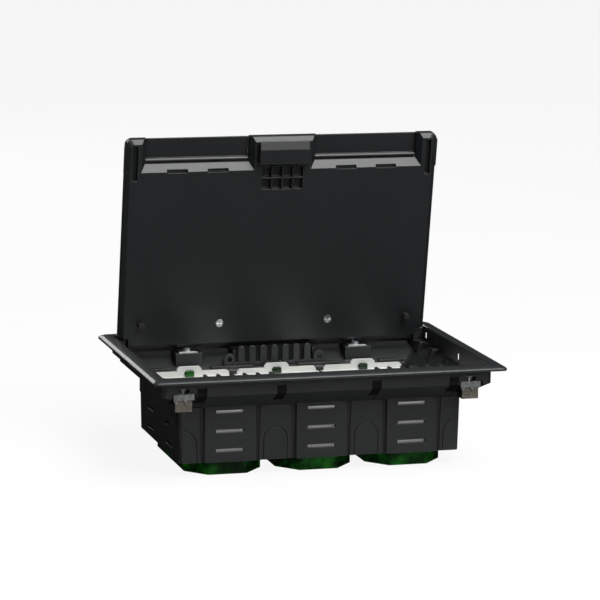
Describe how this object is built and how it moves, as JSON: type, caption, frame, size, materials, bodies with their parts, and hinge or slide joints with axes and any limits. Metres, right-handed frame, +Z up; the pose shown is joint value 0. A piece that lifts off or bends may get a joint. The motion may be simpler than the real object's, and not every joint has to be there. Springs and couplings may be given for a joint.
{
  "type": "floor socket box",
  "caption": "Recessed floor socket box with a hinged lid, sprung latch, cable flaps, height-set module cradles, back boxes and screw claws.",
  "frame": {"origin": "middle of the rim in plan, at the level of the back boxes' undersides", "axes": "+Z up out of the floor, +X to the right and +Y to the hinge side, seen from the latch side"},
  "size_m": [0.276, 0.199, 0.2435],
  "materials": {
    "rim_black": "fine-grained moulded black",
    "housing_black": "fine-grained moulded black",
    "comb_black": "moulded black",
    "lid_black": "fine-grained moulded black",
    "flap_black": "moulded black",
    "bumper_rubber": "soft black",
    "zinc_steel": "bright zinc plate",
    "pin_steel": "drawn bar",
    "block_zinc": "die-cast, dull",
    "cradle_white": "moulded white",
    "box_green": "translucent green"
  },
  "bodies": {
    "base": {"rim_frame": "rim_black", "housing": "housing_black", "rear_comb": "comb_black", "tower_plates": "zinc_steel"},
    "lid": {"lid_cover": "lid_black", "lid_underside": "lid_black", "lid_plate": "zinc_steel", "lid_screws": "zinc_steel", "lid_bumpers": "bumper_rubber", "hinge_pins": "pin_steel"},
    "latch": {"latch_slider": "lid_black"},
    "flap_left": {"cable_flap_left": "flap_black"},
    "flap_right": {"cable_flap_right": "flap_black"},
    "sockets_left": {"cradle_left": "cradle_white", "back_box_left": "box_green"},
    "sockets_middle": {"cradle_middle": "cradle_white", "back_box_middle": "box_green"},
    "sockets_right": {"cradle_right": "cradle_white", "back_box_right": "box_green"},
    "screw_front_left": {"claw_screw_front_left": "zinc_steel"},
    "claw_front_left": {"claw_front_left": "zinc_steel", "claw_block_front_left": "block_zinc"},
    "screw_front_right": {"claw_screw_front_right": "zinc_steel"},
    "claw_front_right": {"claw_front_right": "zinc_steel", "claw_block_front_right": "block_zinc"},
    "screw_rear_left": {"claw_screw_rear_left": "zinc_steel"},
    "claw_rear_left": {"claw_rear_left": "zinc_steel", "claw_block_rear_left": "block_zinc"},
    "screw_rear_right": {"claw_screw_rear_right": "zinc_steel"},
    "claw_rear_right": {"claw_rear_right": "zinc_steel", "claw_block_rear_right": "block_zinc"}
  },
  "joints": [
    {"name": "lid_hinge", "type": "hinge", "parent": "base", "child": "lid", "pos_m": [0, 0.0806, 0.0789], "axis": [-1, 0, 0], "range_deg": [-80, 25]},
    {"name": "latch_slide", "type": "slide", "parent": "lid", "child": "latch", "axis": [0, 0.1736, -0.9848], "range_m": [0, 0.004], "stiffness_N_per_m": 300, "springref_m": -0.003},
    {"name": "flap_left_hinge", "type": "hinge", "parent": "lid", "child": "flap_left", "pos_m": [-0.0685, 0.05552, 0.22517], "axis": [1, 0, 0], "range_deg": [0, 85]},
    {"name": "flap_right_hinge", "type": "hinge", "parent": "lid", "child": "flap_right", "pos_m": [0.0685, 0.05552, 0.22517], "axis": [1, 0, 0], "range_deg": [0, 85]},
    {"name": "cradle_left_slide", "type": "slide", "parent": "base", "child": "sockets_left", "axis": [0, 0, 1], "range_m": [-0.0297, 0]},
    {"name": "cradle_middle_slide", "type": "slide", "parent": "base", "child": "sockets_middle", "axis": [0, 0, 1], "range_m": [-0.0297, 0]},
    {"name": "cradle_right_slide", "type": "slide", "parent": "base", "child": "sockets_right", "axis": [0, 0, 1], "range_m": [-0.0297, 0]},
    {"name": "screw_front_left_turn", "type": "hinge", "parent": "base", "child": "screw_front_left", "pos_m": [-0.1123, -0.082, 0.063], "axis": [0, 0, -1], "range_deg": [-3095, 0]},
    {"name": "claw_front_left_lift", "type": "slide", "parent": "base", "child": "claw_front_left", "axis": [0, 0, 1], "range_m": [-0.006, 0]},
    {"name": "screw_front_right_turn", "type": "hinge", "parent": "base", "child": "screw_front_right", "pos_m": [0.1123, -0.082, 0.063], "axis": [0, 0, -1], "range_deg": [-3095, 0]},
    {"name": "claw_front_right_lift", "type": "slide", "parent": "base", "child": "claw_front_right", "axis": [0, 0, 1], "range_m": [-0.006, 0]},
    {"name": "screw_rear_left_turn", "type": "hinge", "parent": "base", "child": "screw_rear_left", "pos_m": [-0.07, 0.0795, 0.063], "axis": [0, 0, -1], "range_deg": [-3095, 0]},
    {"name": "claw_rear_left_lift", "type": "slide", "parent": "base", "child": "claw_rear_left", "axis": [0, 0, 1], "range_m": [-0.006, 0]},
    {"name": "screw_rear_right_turn", "type": "hinge", "parent": "base", "child": "screw_rear_right", "pos_m": [0.07, 0.0795, 0.063], "axis": [0, 0, -1], "range_deg": [-3095, 0]},
    {"name": "claw_rear_right_lift", "type": "slide", "parent": "base", "child": "claw_rear_right", "axis": [0, 0, 1], "range_m": [-0.006, 0]}
  ],
  "couplings": [
    {"joint": "screw_front_left_turn", "follows": "claw_front_left_lift", "rad_per_m": 8976},
    {"joint": "screw_front_right_turn", "follows": "claw_front_right_lift", "rad_per_m": 8976},
    {"joint": "screw_rear_left_turn", "follows": "claw_rear_left_lift", "rad_per_m": 8976},
    {"joint": "screw_rear_right_turn", "follows": "claw_rear_right_lift", "rad_per_m": 8976}
  ]
}
